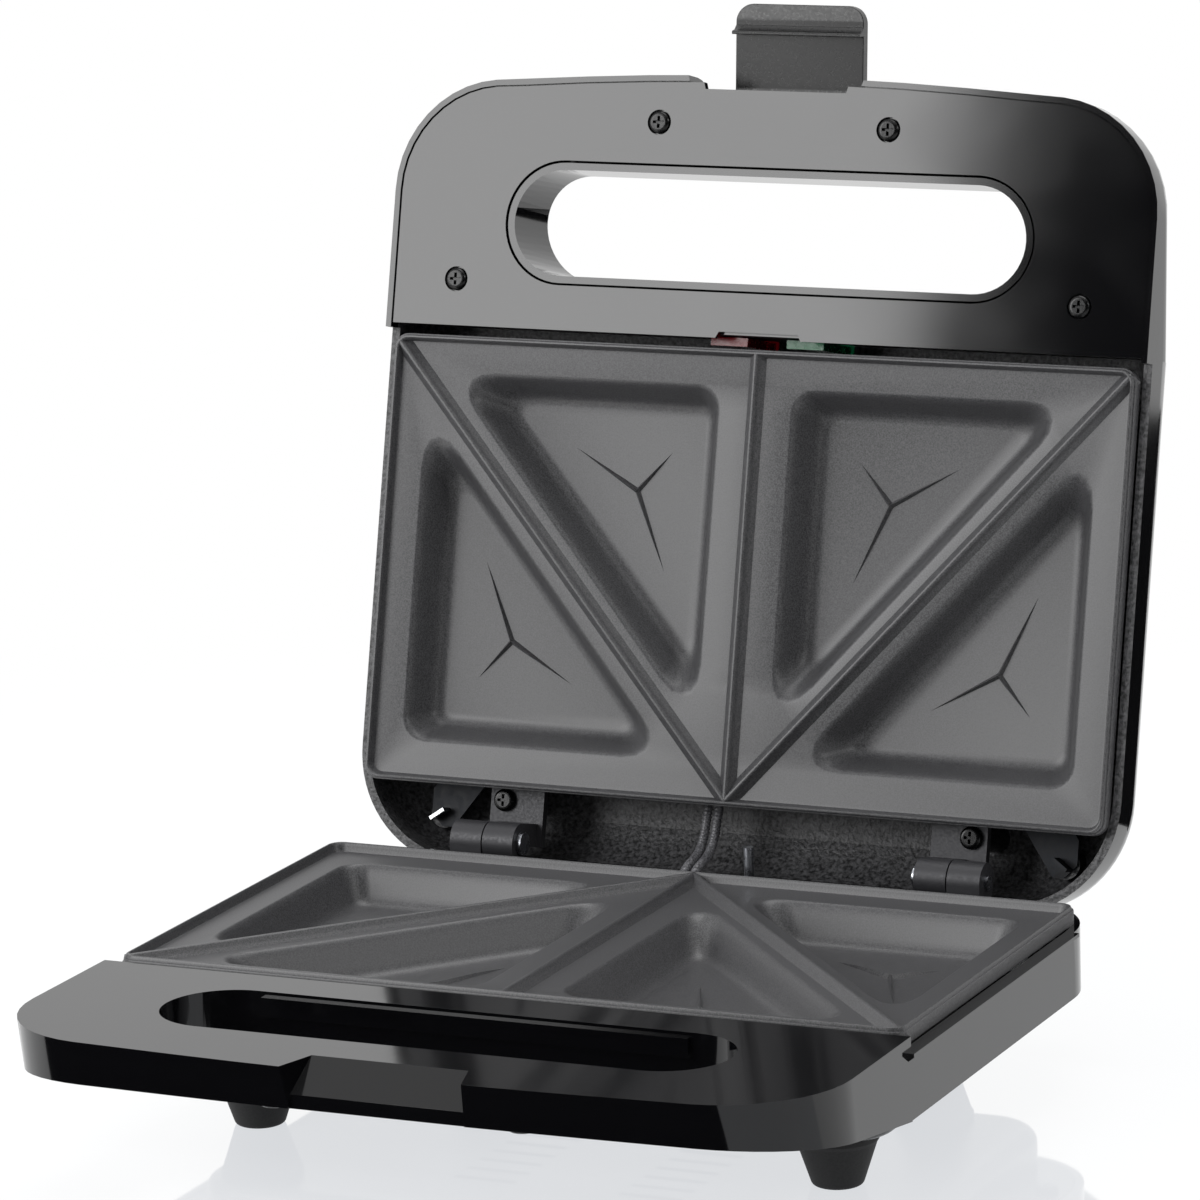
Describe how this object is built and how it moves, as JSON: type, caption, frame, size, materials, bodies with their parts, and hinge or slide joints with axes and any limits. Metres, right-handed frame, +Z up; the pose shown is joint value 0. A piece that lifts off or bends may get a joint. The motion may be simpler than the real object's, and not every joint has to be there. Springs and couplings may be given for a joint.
{
  "type": "sandwich toaster",
  "caption": "Two-part sandwich toaster with matching triangle-pocket cooking plates, looped handles, a hinged lid and a swinging latch, shown open.",
  "frame": {"origin": "on the table plane, under the middle of the open toaster's bounding box", "axes": "+X to the right along the hinge line, +Y toward the hinge, away from the handles, +Z up"},
  "size_m": [0.2312, 0.2928, 0.2762],
  "materials": {
    "black_shell": "glossy black moulding",
    "black_cover": "glossy black cover",
    "black_bottom": "fine textured black moulding",
    "black_screws": "blackened cross-recess screws",
    "nonstick_plate": "satin speckled non-stick coating on cast aluminium",
    "zinc_steel": "zinc plated steel",
    "heating_tube": "dull heating tube",
    "bright_sheet": "aluminised sheet",
    "thermostat": "thermostat body and terminals",
    "fuse": "ceramic sleeve",
    "connector": "pale insulating moulding",
    "rubber": "matte black rubber",
    "hinge_metal": "blackened die casting",
    "glass_sleeve": "dark braided glass fibre sleeve",
    "red_lens": "clear red lens",
    "green_lens": "clear green lens",
    "lamp_glass": "neon lamp bulb",
    "latch_black": "semi-gloss black moulding"
  },
  "bodies": {
    "base": {"base_housing": "black_shell", "base_bottom": "black_bottom", "base_handle_cover": "black_cover", "base_bottom_screws": "black_screws", "base_plate": "nonstick_plate", "base_plate_screws": "zinc_steel", "base_element": "heating_tube", "base_element_clamp": "zinc_steel", "base_clamp_screw": "zinc_steel", "base_reflector": "bright_sheet", "thermostat": "thermostat", "base_thermal_fuse": "fuse", "base_connector": "connector", "cord_bush": "rubber", "base_hinge_left": "hinge_metal", "base_hinge_right": "hinge_metal", "base_hinge_screws": "black_screws", "hinge_pin_left": "zinc_steel", "hinge_pin_right": "zinc_steel", "earth_stud": "zinc_steel", "jumper_lead_left": "glass_sleeve", "jumper_lead_right": "glass_sleeve", "foot_front_left": "rubber", "foot_front_right": "rubber", "foot_rear_left": "rubber", "foot_rear_right": "rubber"},
    "lid": {"lid_shell": "black_shell", "lid_handle_cover": "black_cover", "lid_cover_screws": "black_screws", "lid_plate": "nonstick_plate", "lid_plate_screws": "zinc_steel", "lid_element": "heating_tube", "lid_element_clamp": "zinc_steel", "lid_clamp_screw": "zinc_steel", "lid_reflector": "bright_sheet", "lid_thermal_fuse": "fuse", "lid_connector": "connector", "lid_hinge_left": "hinge_metal", "lid_hinge_right": "hinge_metal", "lid_hinge_screws": "black_screws", "power_lens": "red_lens", "ready_lens": "green_lens", "power_lamp": "lamp_glass", "ready_lamp": "lamp_glass", "lamp_holder": "connector", "latch_pin": "zinc_steel"},
    "latch": {"latch": "latch_black"}
  },
  "joints": [
    {"name": "lid_hinge", "type": "hinge", "parent": "base", "child": "lid", "pos_m": [0, 0.07, 0.0491], "axis": [1, 0, 0], "range_deg": [0, 104.3], "deforming": ["jumper_lead_left", "jumper_lead_right"]},
    {"name": "latch_hinge", "type": "hinge", "parent": "lid", "child": "latch", "pos_m": [0, 0.1312, 0.24506], "axis": [1, 0, 0], "range_deg": [0, 81]}
  ]
}
